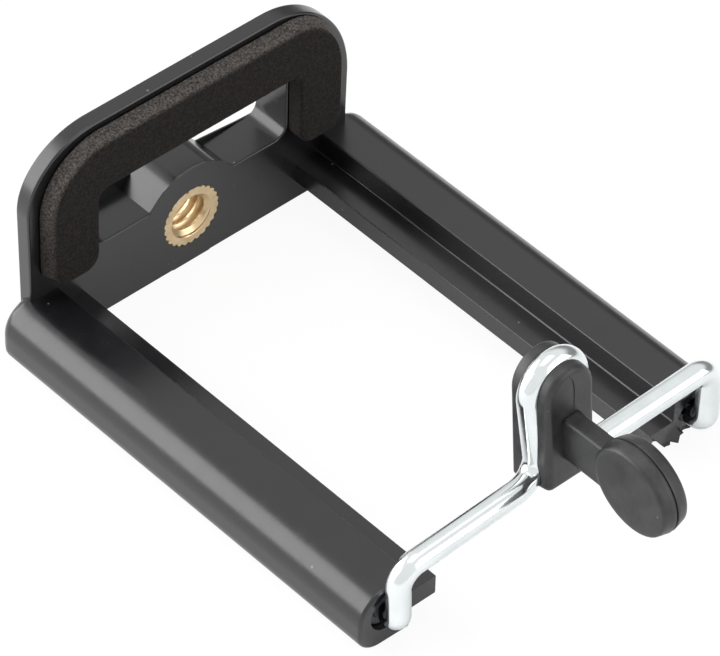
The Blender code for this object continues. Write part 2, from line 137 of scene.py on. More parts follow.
def end_loops(outline, y, inwards, edge, beyond, steps=4):
    """The loops at one end of a prism: rounded off, or for a cutter flared and carried past it."""
    edge = np.broadcast_to(edge, len(outline))
    sign = 1 if beyond else -1
    loops = []
    if beyond:
        loops.append([(x, y - inwards * beyond, z) for x, z in grown(outline, edge)])
    for i in range(steps + 1):
        a = math.radians(90 * i / steps)
        flat = grown(outline, sign * edge * (1 - math.sin(a)))
        loops.append([(x, y + inwards * e * (1 - math.cos(a)), z) for (x, z), e in zip(flat, edge)])
    return loops


def drawn(name, outline, start, end, edge, far_edge=None, beyond=0.0):
    """An (x, z) outline drawn along Y, its two ends rounded off, or flared where beyond is set."""
    near = end_loops(outline, start, 1, edge, beyond)
    far = end_loops(outline, end, -1, edge if far_edge is None else far_edge, beyond)
    between = [[(x, y, z) for x, z in outline] for y in np.arange(start + 3, end - 3, 3)]
    return solid(name, near + between + far[::-1])


def applied(target):
    """Turns a target's modifiers into its own mesh."""
    shown = target.evaluated_get(bpy.context.evaluated_depsgraph_get())
    mesh = bpy.data.meshes.new_from_object(shown)
    target.modifiers.clear()
    target.data = mesh


def combined(target, operation, other):
    """Joins another shape to a target, or cuts it out of it, and removes the other."""
    modifier = target.modifiers.new(operation, "BOOLEAN")
    modifier.operation = operation
    modifier.object = other
    applied(target)
    bpy.data.objects.remove(other)


def shaded(piece, finish, sharp=32):
    """Gives a piece its finish and smooth faces, crisp where it turns by more than sharp degrees."""
    bm = bmesh.new()
    bm.from_mesh(piece.data)
    bmesh.ops.remove_doubles(bm, verts=bm.verts, dist=0.002 * MM)
    bmesh.ops.dissolve_degenerate(bm, edges=bm.edges, dist=0.001 * MM)
    bm.to_mesh(piece.data)
    bm.free()
    piece.data.materials.clear()
    piece.data.materials.append(finish)
    piece.data.shade_smooth()
    piece.data.set_sharp_from_angle(angle=math.radians(sharp))
    weighted = piece.modifiers.new("even shading", "WEIGHTED_NORMAL")
    weighted.keep_sharp = True
    weighted.weight = 100
    applied(piece)


def rail(side, trim):
    """One rail, its ends softer round the outer top than along the ledge; trim narrows it outside."""
    outline = eased([
        (-3.3, 0, 0.3),
        *[(reach, z, 0) for reach, z in arc((1.5 - trim, 2.9), (3.25, 2.9), 270, 360)],
        *[(reach, z, 0) for reach, z in arc((0.8 - trim, 4.5), (3.95, 4.3), 0, 90)],
        (-3.4, 8.8, 0.18), (-3.55, 5.7, 0.25),
        (-7.5, 5.7, 0.14), (-7.5, 2.8, 0.2), (-3.6, 2.8, 0.2),
    ])
    outer = [min(1, max(0, (reach + 2) / 4)) * min(1, 0.5 + z / 5) for reach, z in outline]
    section = [(side * (RAIL_X + reach), z) for reach, z in outline]
    near_edge = [0.12 + 0.4 * o for o in outer]
    far_edge = [0.12 + 1.45 * o for o in outer]
    return drawn("rail", section, RAIL_END, RAIL_BACK, near_edge, far_edge)


def plate_edge(half_width, top, right, left):
    """A plate's upper edge, from right to left, with an oval corner at each end."""
    right_centre = (half_width - right[0], top - right[1])
    left_centre = (left[0] - half_width, top - left[1])
    return arc(right_centre, right, 0, 90, 32) + arc(left_centre, left, 90, 180, 32)


def break_cutter(chance):
    """What has broken off the right rail: a jagged roof, and a rough face set back from the end."""
    columns = []
    for (x0, z0, d0), (x1, z1, d1) in zip(BREAK_EDGE, BREAK_EDGE[1:]):
        for i in range(3):
            t = i / 3
            x, z, depth = x0 + (x1 - x0) * t, z0 + (z1 - z0) * t, d0 + (d1 - d0) * t
            torn_z = z + chance.uniform(-0.03, 0.03)
            columns.append((RAIL_X + x, torn_z, depth + chance.uniform(-0.1, 0.1)))
    loops = []
    for x, z, depth in columns:
        heights = [z + (-2 - z) * i / 8 for i in range(9)]
        face = [(x, RAIL_END + depth + chance.uniform(-0.08, 0.08), height) for height in heights]
        loops.append([(x, RAIL_END - 1, heights[0]), *face, (x, RAIL_END - 1, heights[-1])])
    return solid("break_cutter", loops)


body = rail(1, 0)
combined(body, "UNION", rail(-1, LEFT_TRIM))

# The plate's right corner is larger than its left one.
plate_outline = [
    (-PLATE_FOOT_HALF, 0.5), (PLATE_FOOT_HALF, 0.5),
    *plate_edge(PLATE_HALF, PLATE_TOP, (13.0, 14.8), (10.9, 9.5)),
]
combined(body, "UNION", drawn("plate", plate_outline, PLATE_FRONT, PLATE_BACK, 0.3))

# The bar runs between the rails, and a narrower collar stands on it round the window.
bar_half = [(21.7, 0, 0.3), (21.7, BAR_TOP, 0.3), (17.75, BAR_TOP, 0.6), (17.75, 25.5, 2.0)]
bar_outline = eased(bar_half + [(-x, z, radius) for x, z, radius in reversed(bar_half)])
combined(body, "UNION", drawn("bar", bar_outline, PLATE_FRONT + 0.001, BAR_BACK, 0.25))

# The window is cut from the front almost through the bar. The last 0.4 mm has an outline of its
# own, which leaves a low lip along the window's foot, higher on the left.
window = eased([
    (15.75, BAR_TOP, 2.0), (15.75, 23.5, 2.0), (-15.75, 23.5, 2.0), (-15.75, BAR_TOP, 2.0),
], 10)
front_loops = end_loops(window, PLATE_FRONT, 1, 0.22, 1)
front_loops.append([(x, BAR_BACK - 0.3, z) for x, z in window])
combined(body, "DIFFERENCE", solid("window", front_loops))
back_window = eased([
    (6.0, 12.7, 1.0), (12.5, 12.05, 4.0), (16.4, 11.8, 1.4), (16.4, 23.3, 2.0),
    (-16.4, 23.3, 2.0), (-16.4, 13.3, 1.4), (-9.5, 13.6, 3.0), (-6.0, 13.7, 1.0),
], 8)
back_loops = end_loops(back_window, BAR_BACK, -1, 0.15, 1)
back_loops.append([(x, LIP_FRONT, z) for x, z in back_window])
combined(body, "DIFFERENCE", solid("window_back", back_loops))

# The boss is round at its face and has eight flats behind it, and its foot is cut off level.
low = math.degrees(math.asin(INSERT_Z / BOSS_RADIUS))
boss_turns = [math.radians(-low + (180 + 2 * low) * i / 144) for i in range(145)]
boss_flats = [
    min(BOSS_RADIUS, BOSS_FLAT / math.cos((t + math.pi / 8) % (math.pi / 4) - math.pi / 8))
    for t in boss_turns
]
boss_loops = []
for y, roundness, by in (
    (PLATE_FRONT + 0.002, 1, -0.06), (PLATE_FRONT + 0.06, 1, 0),
    (PLATE_FRONT + 0.3, 0, 0), (BAR_BACK - 0.001, 0, 0),
):
    reaches = [BOSS_RADIUS * roundness + flat * (1 - roundness) + by for flat in boss_flats]
    boss_loops.append([
        (r * math.cos(t), y, max(0, INSERT_Z + r * math.sin(t))) for r, t in zip(reaches, boss_turns)
    ])
combined(body, "UNION", solid("boss", boss_loops))

seat = arc((0, INSERT_Z), (SEAT_RADIUS, SEAT_RADIUS), 0, 360, 96)[:-1]
combined(body, "DIFFERENCE", drawn("seat", seat, PLATE_FRONT, BAR_BACK, 0.1, beyond=1))
for side in (1, -1):
    bore = arc((side * RAIL_X, BORE_Z), (BORE_RADIUS, BORE_RADIUS), 0, 360, 48)[:-1]
    bore_loops = end_loops(bore, RAIL_END, 1, 0.15, 1)
    bore_loops.append([(x, BORE_BACK, z) for x, z in bore])
    combined(body, "DIFFERENCE", solid("bore", bore_loops))
combined(body, "DIFFERENCE", break_cutter(random.Random(7)))
body.name = "body_moulding"


def linear(hex_colour):
    """A colour written as sRGB hex, turned to the linear values that a socket takes."""
    parts = [int(hex_colour[i : i + 2], 16) / 255 for i in (1, 3, 5)]
    return (*[p / 12.92 if p <= 0.04045 else ((p + 0.055) / 1.055) ** 2.4 for p in parts], 1)


def add(tree, kind, sockets=None, **settings):
    """Adds a node; sockets gives inputs a value or an output to link, and settings its options."""
    made = tree.nodes.new("ShaderNode" + kind)
    for name, value in settings.items():
        setattr(made, name, value)
    for name, value in (sockets or {}).items():
        if isinstance(value, bpy.types.NodeSocket):
            tree.links.new(value, made.inputs[name])
        else:
            made.inputs[name].default_value = value
    return made


def started(name, roughness, ior=1.5, metallic=0.0):
    """A new material, its tree, its shader, and the piece's own place in metres for its patterns."""
    made = bpy.data.materials.new(name)
    made.use_nodes = True
    tree = made.node_tree
    shader = tree.nodes["Principled BSDF"]
    shader.inputs["Roughness"].default_value = roughness
    shader.inputs["IOR"].default_value = ior
    shader.inputs["Metallic"].default_value = metallic
    place = add(tree, "TexCoord").outputs["Object"]
    return made, tree, shader, place


def per(size):
    """The scale of a pattern whose features are that many millimetres."""
    return 1 / (size * MM)


# ABS, injection moulded in a polished tool. It is nearly black and glossy enough to mirror the
# softboxes as soft-edged bands. A few specks of dust lie on it, drawn twice as large to show.
abs_black, tree, shader, place = started("moulded_black_abs", 0.2, 1.6)
cloud = add(tree, "TexNoise", {"Vector": place, "Scale": per(6), "Detail": 3})
tone = add(tree, "Mix", {
    0: cloud.outputs["Fac"], 6: linear("#131315"), 7: linear("#1e1e21"),
}, data_type="RGBA")
dust = add(tree, "TexVoronoi", {"Vector": place, "Scale": per(4)})
speck = add(tree, "MapRange", {
    "Value": dust.outputs["Distance"], "From Min": 0.03, "From Max": 0.05, "To Min": 1.0, "To Max": 0.0,
})
dusted = add(tree, "Mix", {
    0: speck.outputs[0], 6: tone.outputs[2], 7: linear("#75726d"),
}, data_type="RGBA")

# Round the torn end of the right rail the plastic is dull and slightly brown.
torn_at = add(tree, "VectorMath", {
    0: place, 1: (22.4 * MM, -66.8 * MM, 2.6 * MM),
}, operation="DISTANCE")
torn = add(tree, "MapRange", {
    "Value": torn_at.outputs["Value"],
    "From Min": 2.0 * MM, "From Max": 3.2 * MM, "To Min": 1.0, "To Max": 0.0,
})
colour = add(tree, "Mix", {
    0: torn.outputs[0], 6: dusted.outputs[2], 7: linear("#17110e"),
}, data_type="RGBA")
tree.links.new(colour.outputs[2], shader.inputs["Base Color"])
smear = add(tree, "TexNoise", {"Vector": place, "Scale": per(2.2), "Detail": 4})
shade = add(tree, "MapRange", {"Value": smear.outputs["Fac"], "To Min": 0.18, "To Max": 0.32})
rough = add(tree, "Math", {
    0: torn.outputs[0], 1: 0.4, 2: shade.outputs[0],
}, operation="MULTIPLY_ADD")
tree.links.new(rough.outputs[0], shader.inputs["Roughness"])

# A mould leaves a faint peel on its plastic, under a millimetre from crest to crest.
peel = add(tree, "TexNoise", {"Vector": place, "Scale": per(0.8), "Detail": 2})
bump = add(tree, "Bump", {"Height": peel.outputs["Fac"], "Strength": 0.06, "Distance": 0.02 * MM})
tree.links.new(bump.outputs[0], shader.inputs["Normal"])

shaded(body, abs_black)
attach(body, "body")
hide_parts("clamp_body")


# Threaded insert. A brass sleeve turned from bar, knurled outside and tapped for the quarter-inch
# camera screw, 20 turns to the inch. It is pressed hot into the boss, flush with both faces.
THREAD_PITCH = 1.27
THREAD_CREST = 2.55
THREAD_ROOT = 3.2
THREAD_STEPS = 116
MOUTH_RADIUS = 3.25
INSERT_RADIUS = 4.5
KNURL_TEETH = 26
COLUMNS = 8 * KNURL_TEETH


def ring_of(radii, y, centre):
    """A loop of points round the Y axis, with a radius for each, all at one place along it."""
    turns = [math.tau * i / len(radii) for i in range(len(radii))]
    return [(centre[0] + r * math.cos(t), y, centre[1] + r * math.sin(t)) for r, t in zip(radii, turns)]


def thread_radius(turn, y):
    """How far the tapped bore's wall is from its axis: sloping flanks, with flat crests and roots."""
    phase = (y / THREAD_PITCH + turn) % 1
    flank = min(1, max(0, 1.5 * (1 - abs(2 * phase - 1)) - 0.2))
    countersink = MOUTH_RADIUS - min(y - PLATE_FRONT, BAR_BACK - y)
    return max(THREAD_CREST + (THREAD_ROOT - THREAD_CREST) * flank, countersink)


def insert_loops():
    """Along the thread from front to back, and then over the knurled outside and its waist."""
    turns = [i / COLUMNS for i in range(COLUMNS)]
    loops = []
    for step in range(THREAD_STEPS + 1):
        y = PLATE_FRONT + (BAR_BACK - PLATE_FRONT) * step / THREAD_STEPS
        loops.append(ring_of([thread_radius(turn, y) for turn in turns], y, (0, INSERT_Z)))
    teeth = random.Random(3)
    depths = [teeth.uniform(0.2, 0.42) for _ in range(KNURL_TEETH)]
    knurl = []
    for turn in turns:
        tooth = turn * KNURL_TEETH
        depth = depths[int(tooth) % KNURL_TEETH]
        knurl.append(INSERT_RADIUS + 0.06 - depth * abs(2 * (tooth % 1) - 1) ** 1.5)
    for y, by in (
        (BAR_BACK, -0.12), (BAR_BACK - 0.15, 0), (0.6, 0), (0.5, -0.35), (-0.5, -0.35), (-0.6, 0),
        (PLATE_FRONT + 0.12, 0), (PLATE_FRONT, -0.1),
    ):
        loops.append(ring_of([r + by for r in knurl], y, (0, INSERT_Z)))
    return loops


insert = solid("brass_insert", insert_loops(), hoop=True)

# Brass, turned on a lathe. It is a warm satin yellow, clouded by tarnish, and the tool has left
# fine rings round its axis. They are drawn 0.12 mm wide, coarser than real ones, to show.
brass, tree, shader, place = started("turned_yellow_brass", 0.3, metallic=1.0)
apart = add(tree, "SeparateXYZ", {0: place})
height = add(tree, "Math", {0: apart.outputs["Z"], 1: INSERT_Z * MM}, operation="SUBTRACT")
flat = add(tree, "CombineXYZ", {"X": apart.outputs["X"], "Z": height.outputs[0]})
reach = add(tree, "VectorMath", {0: flat.outputs[0]}, operation="LENGTH")
ringed = add(tree, "CombineXYZ", {"X": reach.outputs["Value"]})
cuts = add(tree, "TexNoise", {"Vector": ringed.outputs[0], "Scale": per(0.12), "Detail": 2})
tarnish = add(tree, "TexNoise", {"Vector": place, "Scale": per(1.5), "Detail": 4})
colour = add(tree, "Mix", {
    0: tarnish.outputs["Fac"], 6: linear("#cdae80"), 7: linear("#f2dfbc"),
}, data_type="RGBA")
tree.links.new(colour.outputs[2], shader.inputs["Base Color"])
shade = add(tree, "MapRange", {"Value": tarnish.outputs["Fac"], "To Min": 0.24, "To Max": 0.44})
tree.links.new(shade.outputs[0], shader.inputs["Roughness"])
bump = add(tree, "Bump", {"Height": cuts.outputs["Fac"], "Strength": 0.25, "Distance": 0.02 * MM})
tree.links.new(bump.outputs[0], shader.inputs["Normal"])

shaded(insert, brass, 40)
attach(insert, "body")
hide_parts("threaded_insert")


# Foam pad. An upside-down U, die-cut from dark brown-black closed-cell foam and stuck to the
# plate with tape. The knife has left its outer sides sloping and speckled, and they are made
# lighter higher up by painted light from above.
PAD_BACK = -3.2
PAD_FRONT = -5.6
PAD_SHIFT = -0.43
PAD_HALF = 24.0
PAD_INNER = 16.4
PAD_TOP = 31.1
PAD_BAND = 23.3
PAD_FOOT = 11.3
OUTER_SLOPE = 0.75
INNER_SLOPE = 0.05
FOAM_VOXEL = 0.22
FOAM_CELL = 0.45
FOAM_DEPTH = 0.022

leg = [
    *arc((PAD_INNER - 1.6, PAD_BAND - 1.6), (1.6, 1.6), 90, 0, 8),
    *arc((PAD_INNER + 2.2, PAD_FOOT + 2.2), (2.2, 2.2), 180, 270, 10),
    *arc((PAD_HALF - 2.2, PAD_FOOT + 2.2), (2.2, 2.2), 270, 360, 10),
]
pad_edge = plate_edge(PAD_HALF, PAD_TOP, (8.2, 9.7), (9.6, 9.2))
pad_outline = leg + pad_edge + [(-x, z) for x, z in reversed(leg)]
pad_outline = [(x + PAD_SHIFT, z) for x, z in pad_outline]
pad_slope = [
    OUTER_SLOPE if abs(x - PAD_SHIFT) > 22.5 or z > 25 else INNER_SLOPE for x, z in pad_outline
]
pad_loops = []
for y, slope, edge in (
    (PAD_FRONT, 1, 0.2), (PAD_FRONT + 0.08, 1, 0.07), (PAD_FRONT + 0.22, 0.95, 0),
    (PAD_BACK - 0.1, 0, 0), (PAD_BACK, 0, 0.1),
):
    drawn_in = grown(pad_outline, [-slope * s - edge for s in pad_slope])
    pad_loops.append([(x, y, z) for x, z in drawn_in])
pad = solid("foam_jaw_pad", pad_loops)

# An even remesh, whose skin noise then pushes in and out, gives the cut cells. The back stays flat.
remesh = pad.modifiers.new("even skin", "REMESH")
remesh.mode = "VOXEL"
remesh.voxel_size = FOAM_VOXEL * MM
relaxed = pad.modifiers.new("relaxed", "SMOOTH")
relaxed.iterations = 1
applied(pad)
for vertex in pad.data.vertices:
    point = vertex.co / (FOAM_CELL * MM)
    push = noise.noise(point) + 0.6 * noise.noise(point * 2.3)
    if vertex.co.y < (PAD_BACK - 0.3) * MM:
        vertex.co += vertex.normal * (push * FOAM_DEPTH - FOAM_DEPTH) * MM

# Closed-cell foam, cut from sheet. It is dull and brown-black and has no shine, with cells of
# about 0.3 mm. Its cut outer sides are greyer than its face; that grey grows with height as painted
# light from above, and the inner sides keep the face's colour as painted shade.
foam, tree, shader, place = started("cut_closed_cell_foam", 0.95, 1.45)
shader.inputs["Specular IOR Level"].default_value = 0.25
cells = add(tree, "TexVoronoi", {"Vector": place, "Scale": per(0.3)})
grain = add(tree, "TexNoise", {"Vector": place, "Scale": per(0.3), "Detail": 4, "Roughness": 0.75})
speck = add(tree, "MapRange", {"Value": grain.outputs["Fac"], "From Min": 0.38, "From Max": 0.72})
skin = add(tree, "Mix", {
    0: speck.outputs[0], 6: linear("#191716"), 7: linear("#3b3734"),
}, data_type="RGBA")
cut = add(tree, "Mix", {
    0: speck.outputs[0], 6: linear("#2e2b29"), 7: linear("#827b76"),
}, data_type="RGBA")
apart = add(tree, "SeparateXYZ", {0: place})
behind_face = add(tree, "MapRange", {
    "Value": apart.outputs["Y"],
    "From Min": (PAD_FRONT + 0.05) * MM, "From Max": (PAD_FRONT + 0.6) * MM,
})
# The outer sides lie outside an oval round the window, 24 mm by 23 mm from the middle at z 8 mm.
# The inner sides, cut as well, keep the face's dark colour as painted shade.
spread = add(tree, "VectorMath", {
    0: place, 1: (1 / (24 * MM), 0, 1 / (23 * MM)), 2: (-PAD_SHIFT / 24, 0, -8 / 23),
}, operation="MULTIPLY_ADD")
rim = add(tree, "VectorMath", {0: spread.outputs[0]}, operation="LENGTH")
outside = add(tree, "MapRange", {"Value": rim.outputs["Value"], "From Min": 0.955, "From Max": 0.98})
# Painted light from above: the cut sides' grey runs from a quarter at z 16 mm to full at z 27 mm.
painted_light_from_above = add(tree, "MapRange", {
    "Value": apart.outputs["Z"], "From Min": 16 * MM, "From Max": 27 * MM, "To Min": 0.25,
})
cut_side = add(tree, "Math", {0: behind_face.outputs[0], 1: outside.outputs[0]}, operation="MULTIPLY")
# The cut outer sides' grey, made lighter higher up by painted light from above.
cut_side_and_painted_light = add(tree, "Math", {0: cut_side.outputs[0], 1: painted_light_from_above.outputs[0]}, operation="MULTIPLY")
colour = add(tree, "Mix", {
    0: cut_side_and_painted_light.outputs[0], 6: skin.outputs[2], 7: cut.outputs[2],
}, data_type="RGBA")
tree.links.new(colour.outputs[2], shader.inputs["Base Color"])
pores = add(tree, "Math", {0: cells.outputs["Distance"], 1: grain.outputs["Fac"]}, operation="ADD")
bump = add(tree, "Bump", {"Height": pores.outputs[0], "Strength": 0.6, "Distance": 0.1 * MM})
tree.links.new(bump.outputs[0], shader.inputs["Normal"])

shaded(pad, foam, 180)
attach(pad, "body")
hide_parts("foam_pad")

# Film tape, coated on both sides. It is dull black, and shows only as a dark line round the foam.
tape_outline = [tuple(point) for point in grown(pad_outline, -1.0)]
tape = drawn("pad_tape", tape_outline, PAD_BACK, PLATE_FRONT - 0.01, 0.01)
film, tree, shader, place = started("black_tape", 0.7)
mottle = add(tree, "TexNoise", {"Vector": place, "Scale": per(0.6), "Detail": 3})
colour = add(tree, "Mix", {
    0: mottle.outputs["Fac"], 6: linear("#141414"), 7: linear("#222222"),
}, data_type="RGBA")
tree.links.new(colour.outputs[2], shader.inputs["Base Color"])
shaded(tape, film)
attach(tape, "body")


# Wire jaw. One steel wire, 3.1 mm thick, bent into two legs, two arms and the hump that carries
# the foot, then plated with bright chrome. Its ends are upset, which keeps the washers on.
WIRE = 1.55
ARM_Y = RAIL_END - 1.98
MIDDLE_Z = BORE_Z + 9.3
HUMP_Y = ARM_Y + 0.95
HUMP_RADIUS = 3.75
HUMP_CENTRE_Z = MIDDLE_Z + 15.37 - HUMP_RADIUS
HUMP_LEAN = 0.08
HEAD_Y = -10.4


def hump_point(x, z):
    """A point in the hump's plane, which leans back from its foot."""
    return Vector((x, HUMP_Y + HUMP_LEAN * (z - MIDDLE_Z), z))


def bent(corners, bends, steps=14):
    """A line through corners, each turned with its own bend radius."""
    path = [corners[0]]
    for before, corner, after, bend in zip(corners, corners[1:], corners[2:], bends):
        into = (corner - before).normalized()
        out = (after - corner).normalized()
        turn = into.angle(out)
        sideways = (out - into * into.dot(out)).normalized()
        centre = corner - into * bend * math.tan(turn / 2) + sideways * bend
        for i in range(steps + 1):
            a = turn * i / steps
            path.append(centre + (into * math.sin(a) - sideways * math.cos(a)) * bend)
    return path + [corners[-1]]


def half_jaw(side, rise, end_bend, lean):
    """Half of the wire's centre line, from its leg's end to the hump's top, splayed out by lean."""
    corners = [
        Vector((side * RAIL_X, HEAD_Y, BORE_Z)),
        Vector((side * RAIL_X, RAIL_END + 0.3, BORE_Z)),
        Vector((side * (RAIL_X + lean / 2), ARM_Y, BORE_Z - lean / 2)),
        Vector((side * (RAIL_X + lean), ARM_Y, BORE_Z + rise)),
        Vector((side * 6.55, ARM_Y, MIDDLE_Z)),
        hump_point(side * 2.75, MIDDLE_Z),
        hump_point(side * HUMP_RADIUS, HUMP_CENTRE_Z),
    ]
    crown = arc((0, HUMP_CENTRE_Z), (side * HUMP_RADIUS, HUMP_RADIUS), 0, 90, 20)
    path = bent(corners, (0.3, end_bend, 2.8, 6.0, 2.6))
    return path + [hump_point(x, z) for x, z in crown[1:]]


def tube(name, line, radii, sides=28):
    """A round bar along a line of points, with one radius, or one for each of them."""
    radii = np.broadcast_to(radii, len(line))
    loops = []
    side = Vector((0, 0, 1))
    for i, point in enumerate(line):
        ahead = (line[min(i + 1, len(line) - 1)] - line[max(i - 1, 0)]).normalized()
        side = (side - ahead * side.dot(ahead)).normalized()
        other = ahead.cross(side)
        turns = [math.tau * step / sides for step in range(sides)]
        loops.append([point + (side * math.cos(t) + other * math.sin(t)) * radii[i] for t in turns])
    return solid(name, loops)


right_half = half_jaw(1, 9.8, 1.9, 0.01)
left_half = half_jaw(-1, 8.3, 1.5, 0.6)
jaw_line = right_half + left_half[-2::-1]
head = [(1.2, 1.75), (1.13, 2.0), (0.95, 2.1), (0.25, 2.1), (0.08, 2.05), (0.02, 1.75)]
first = [jaw_line[0] + Vector((0, y, 0)) for y, _ in head]
last = [jaw_line[-1] + Vector((0, y, 0)) for y, _ in reversed(head)]
swell = [radius for _, radius in head]
wire_radii = swell + [WIRE] * len(jaw_line) + swell[::-1]
wire = tube("chromed_wire", first + jaw_line + last, wire_radii, 32)

# Bright chrome, plated on drawn wire. It mirrors the white studio almost whole, in patches a
# little hazier, and ripples faintly where the wire was drawn and bent.
chrome, tree, shader, place = started("bright_chrome_plate", 0.07, metallic=1.0)
mist = add(tree, "TexNoise", {"Vector": place, "Scale": per(4), "Detail": 4})
colour = add(tree, "Mix", {
    0: mist.outputs["Fac"], 6: linear("#d0d6d7"), 7: linear("#ecf0f0"),
}, data_type="RGBA")
tree.links.new(colour.outputs[2], shader.inputs["Base Color"])
shade = add(tree, "MapRange", {"Value": mist.outputs["Fac"], "To Min": 0.09, "To Max": 0.2})
tree.links.new(shade.outputs[0], shader.inputs["Roughness"])
ripple = add(tree, "TexNoise", {"Vector": place, "Scale": per(1.6), "Detail": 2})
bump = add(tree, "Bump", {"Height": ripple.outputs["Fac"], "Strength": 0.12, "Distance": 0.03 * MM})
tree.links.new(bump.outputs[0], shader.inputs["Normal"])

shaded(wire, chrome, 50)
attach(wire, "jaw")
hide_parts("wire_jaw")


# Rubber foot. Black rubber moulded round the hump: a slab that widens towards its back, a flat
# stem, and an oval pull tab whose rim shows the line where the mould parted.
FOOT_TOP = HUMP_CENTRE_Z + HUMP_RADIUS + 0.72
FOOT_FRONT = HUMP_Y - WIRE - 1.67
FOOT_BACK = HUMP_Y + WIRE + 1.26
FOOT_DEPTH = FOOT_BACK - FOOT_FRONT
TAB_Y = RAIL_END - 15.32
TAB_Z = MIDDLE_Z + 6.68
TAB_LONG = 6.42
TAB_ROUND = 5.4
TAB_TILT = math.radians(26.4)
STEM_Z = MIDDLE_Z + 9.4 - 3.1


def foot_loop(half, bottom, top, y, inset):
    """An arched outline that leans as the hump does, drawn in by an inset."""
    toe = 0.9
    outline = [
        *arc((toe - half, bottom + toe), (toe, toe), 180, 270, 8),
        *arc((half - toe, bottom + toe), (toe, toe), 270, 360, 8),
        *arc((0, top - half), (half, half), 0, 180, 48),
    ]
    return [(x, y + HUMP_LEAN * (z - MIDDLE_Z), z) for x, z in grown(outline, -inset)]


def foot_slab():
    """The slab round the hump, from its smaller front to its back, with both edges rounded."""
    near, far = (3.75, MIDDLE_Z - 0.9), (4.1, MIDDLE_Z - 1.9)
    loops = []
    for y, inset in (
        (0, 0.75), (0.1, 0.42), (0.28, 0.2), (0.52, 0.05), (0.8, 0), (FOOT_DEPTH - 0.4, 0),
        (FOOT_DEPTH - 0.2, 0.05), (FOOT_DEPTH - 0.06, 0.17), (FOOT_DEPTH, 0.38),
    ):
        t = y / FOOT_DEPTH
        half, bottom = (near[k] + (far[k] - near[k]) * t for k in (0, 1))
        loops.append(foot_loop(half, bottom, FOOT_TOP, FOOT_FRONT + y, inset))
    return solid("foot_slab", loops)


def stem_shape():
    """The flat stem from inside the tab to inside the slab, a little thicker under the tab."""
    outline = eased([
        (1.35, 3.1, 0.5), (-1.35, 3.1, 0.5), (-1.35, -3.1, 0.5), (1.35, -3.1, 0.5),
    ], 5)
    loops = []
    for y, by in (
        (TAB_Y, 0.15), (TAB_Y + 4.6, 0.12), (TAB_Y + 5.6, 0), (-72.2, 0), (-71.6, 0.03), (-71.0, 0.08),
    ):
        loops.append([(x, y, z + STEM_Z) for x, z in grown(outline, by)])
    return solid("stem", loops)


def tab_shape():
    """A disc crowned towards the groove of its parting line, then made oval and tilted."""
    half = [
        (2.0, 4.4), (2.0, 4.78), (1.94, 4.95), (1.78, 5.08), (1.2, 5.2), (0.6, 5.3),
        (0.3, 5.37), (0.16, 5.34), (0.1, 5.16),
    ]
    loops = []
    for x, radius in [(-x, radius) for x, radius in half] + half[::-1]:
        loop = []
        for i in range(96):
            t = math.tau * i / 96
            along, across = radius / TAB_ROUND * TAB_LONG * math.cos(t), radius * math.sin(t)
            y = TAB_Y + along * math.cos(TAB_TILT) - across * math.sin(TAB_TILT)
            loop.append((x, y, TAB_Z + along * math.sin(TAB_TILT) + across * math.cos(TAB_TILT)))
        loops.append(loop)
    return solid("tab", loops)


foot = foot_slab()
combined(foot, "DIFFERENCE", tube("groove", jaw_line, WIRE + 0.06, 32))
combined(foot, "UNION", stem_shape())
combined(foot, "UNION", tab_shape())
# The rubber has creased over the hump.
crease = [(-0.7, 29.9), (-0.1, 29.3), (0.3, 28.4), (0.45, 27.2), (0.4, 25.5), (0.35, 24.0)]
crease_line = [Vector((x, FOOT_FRONT + HUMP_LEAN * (z - MIDDLE_Z) - 0.03, z)) for x, z in crease]
crease_cutter = tube("crease", crease_line, (0.03, 0.08, 0.12, 0.12, 0.1, 0.06), 8)
combined(foot, "DIFFERENCE", crease_cutter)
foot.name = "rubber_foot_and_tab"

# Rubber, moulded in a bare steel tool. It is a dull black that has gone grey in patches, with a
# fine grain and a few specks of dust, both drawn coarser than real ones to show.
rubber, tree, shader, place = started("moulded_black_rubber", 0.4, 1.52)
cloud = add(tree, "TexNoise", {"Vector": place, "Scale": per(2.5), "Detail": 6, "Roughness": 0.6})
worn = add(tree, "MapRange", {"Value": cloud.outputs["Fac"], "From Min": 0.3, "From Max": 0.7})
tone = add(tree, "Mix", {
    0: worn.outputs[0], 6: linear("#1a1a1a"), 7: linear("#3c3c3c"),
}, data_type="RGBA")
dust = add(tree, "TexVoronoi", {"Vector": place, "Scale": per(2.5)})
speck = add(tree, "MapRange", {
    "Value": dust.outputs["Distance"], "From Min": 0.04, "From Max": 0.07, "To Min": 1.0, "To Max": 0.0,
})
colour = add(tree, "Mix", {
    0: speck.outputs[0], 6: tone.outputs[2], 7: linear("#8a8884"),
}, data_type="RGBA")
tree.links.new(colour.outputs[2], shader.inputs["Base Color"])
shade = add(tree, "MapRange", {"Value": cloud.outputs["Fac"], "To Min": 0.3, "To Max": 0.55})
tree.links.new(shade.outputs[0], shader.inputs["Roughness"])
grain = add(tree, "TexNoise", {"Vector": place, "Scale": per(0.3), "Detail": 3})
bump = add(tree, "Bump", {"Height": grain.outputs["Fac"], "Strength": 0.3, "Distance": 0.03 * MM})
tree.links.new(bump.outputs[0], shader.inputs["Normal"])

shaded(foot, rubber, 40)
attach(foot, "jaw")
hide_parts("rubber_foot")


# Guide bushes. A short turned plug of black nylon in each bore's mouth, pressed in a millimetre
# behind the rail's end. It guides the wire, and the spring stands against it.
BUSH_Y = RAIL_END + 1.0
BUSH_BACK = BUSH_Y + 4.0


def turned_ring(name, profile, x, sides=64):
    """A ring turned round a bore's axis from (radius, y) points."""
    loops = [ring_of([radius] * sides, y, (x, BORE_Z)) for radius, y in profile]
    return solid(name, loops, hoop=True)


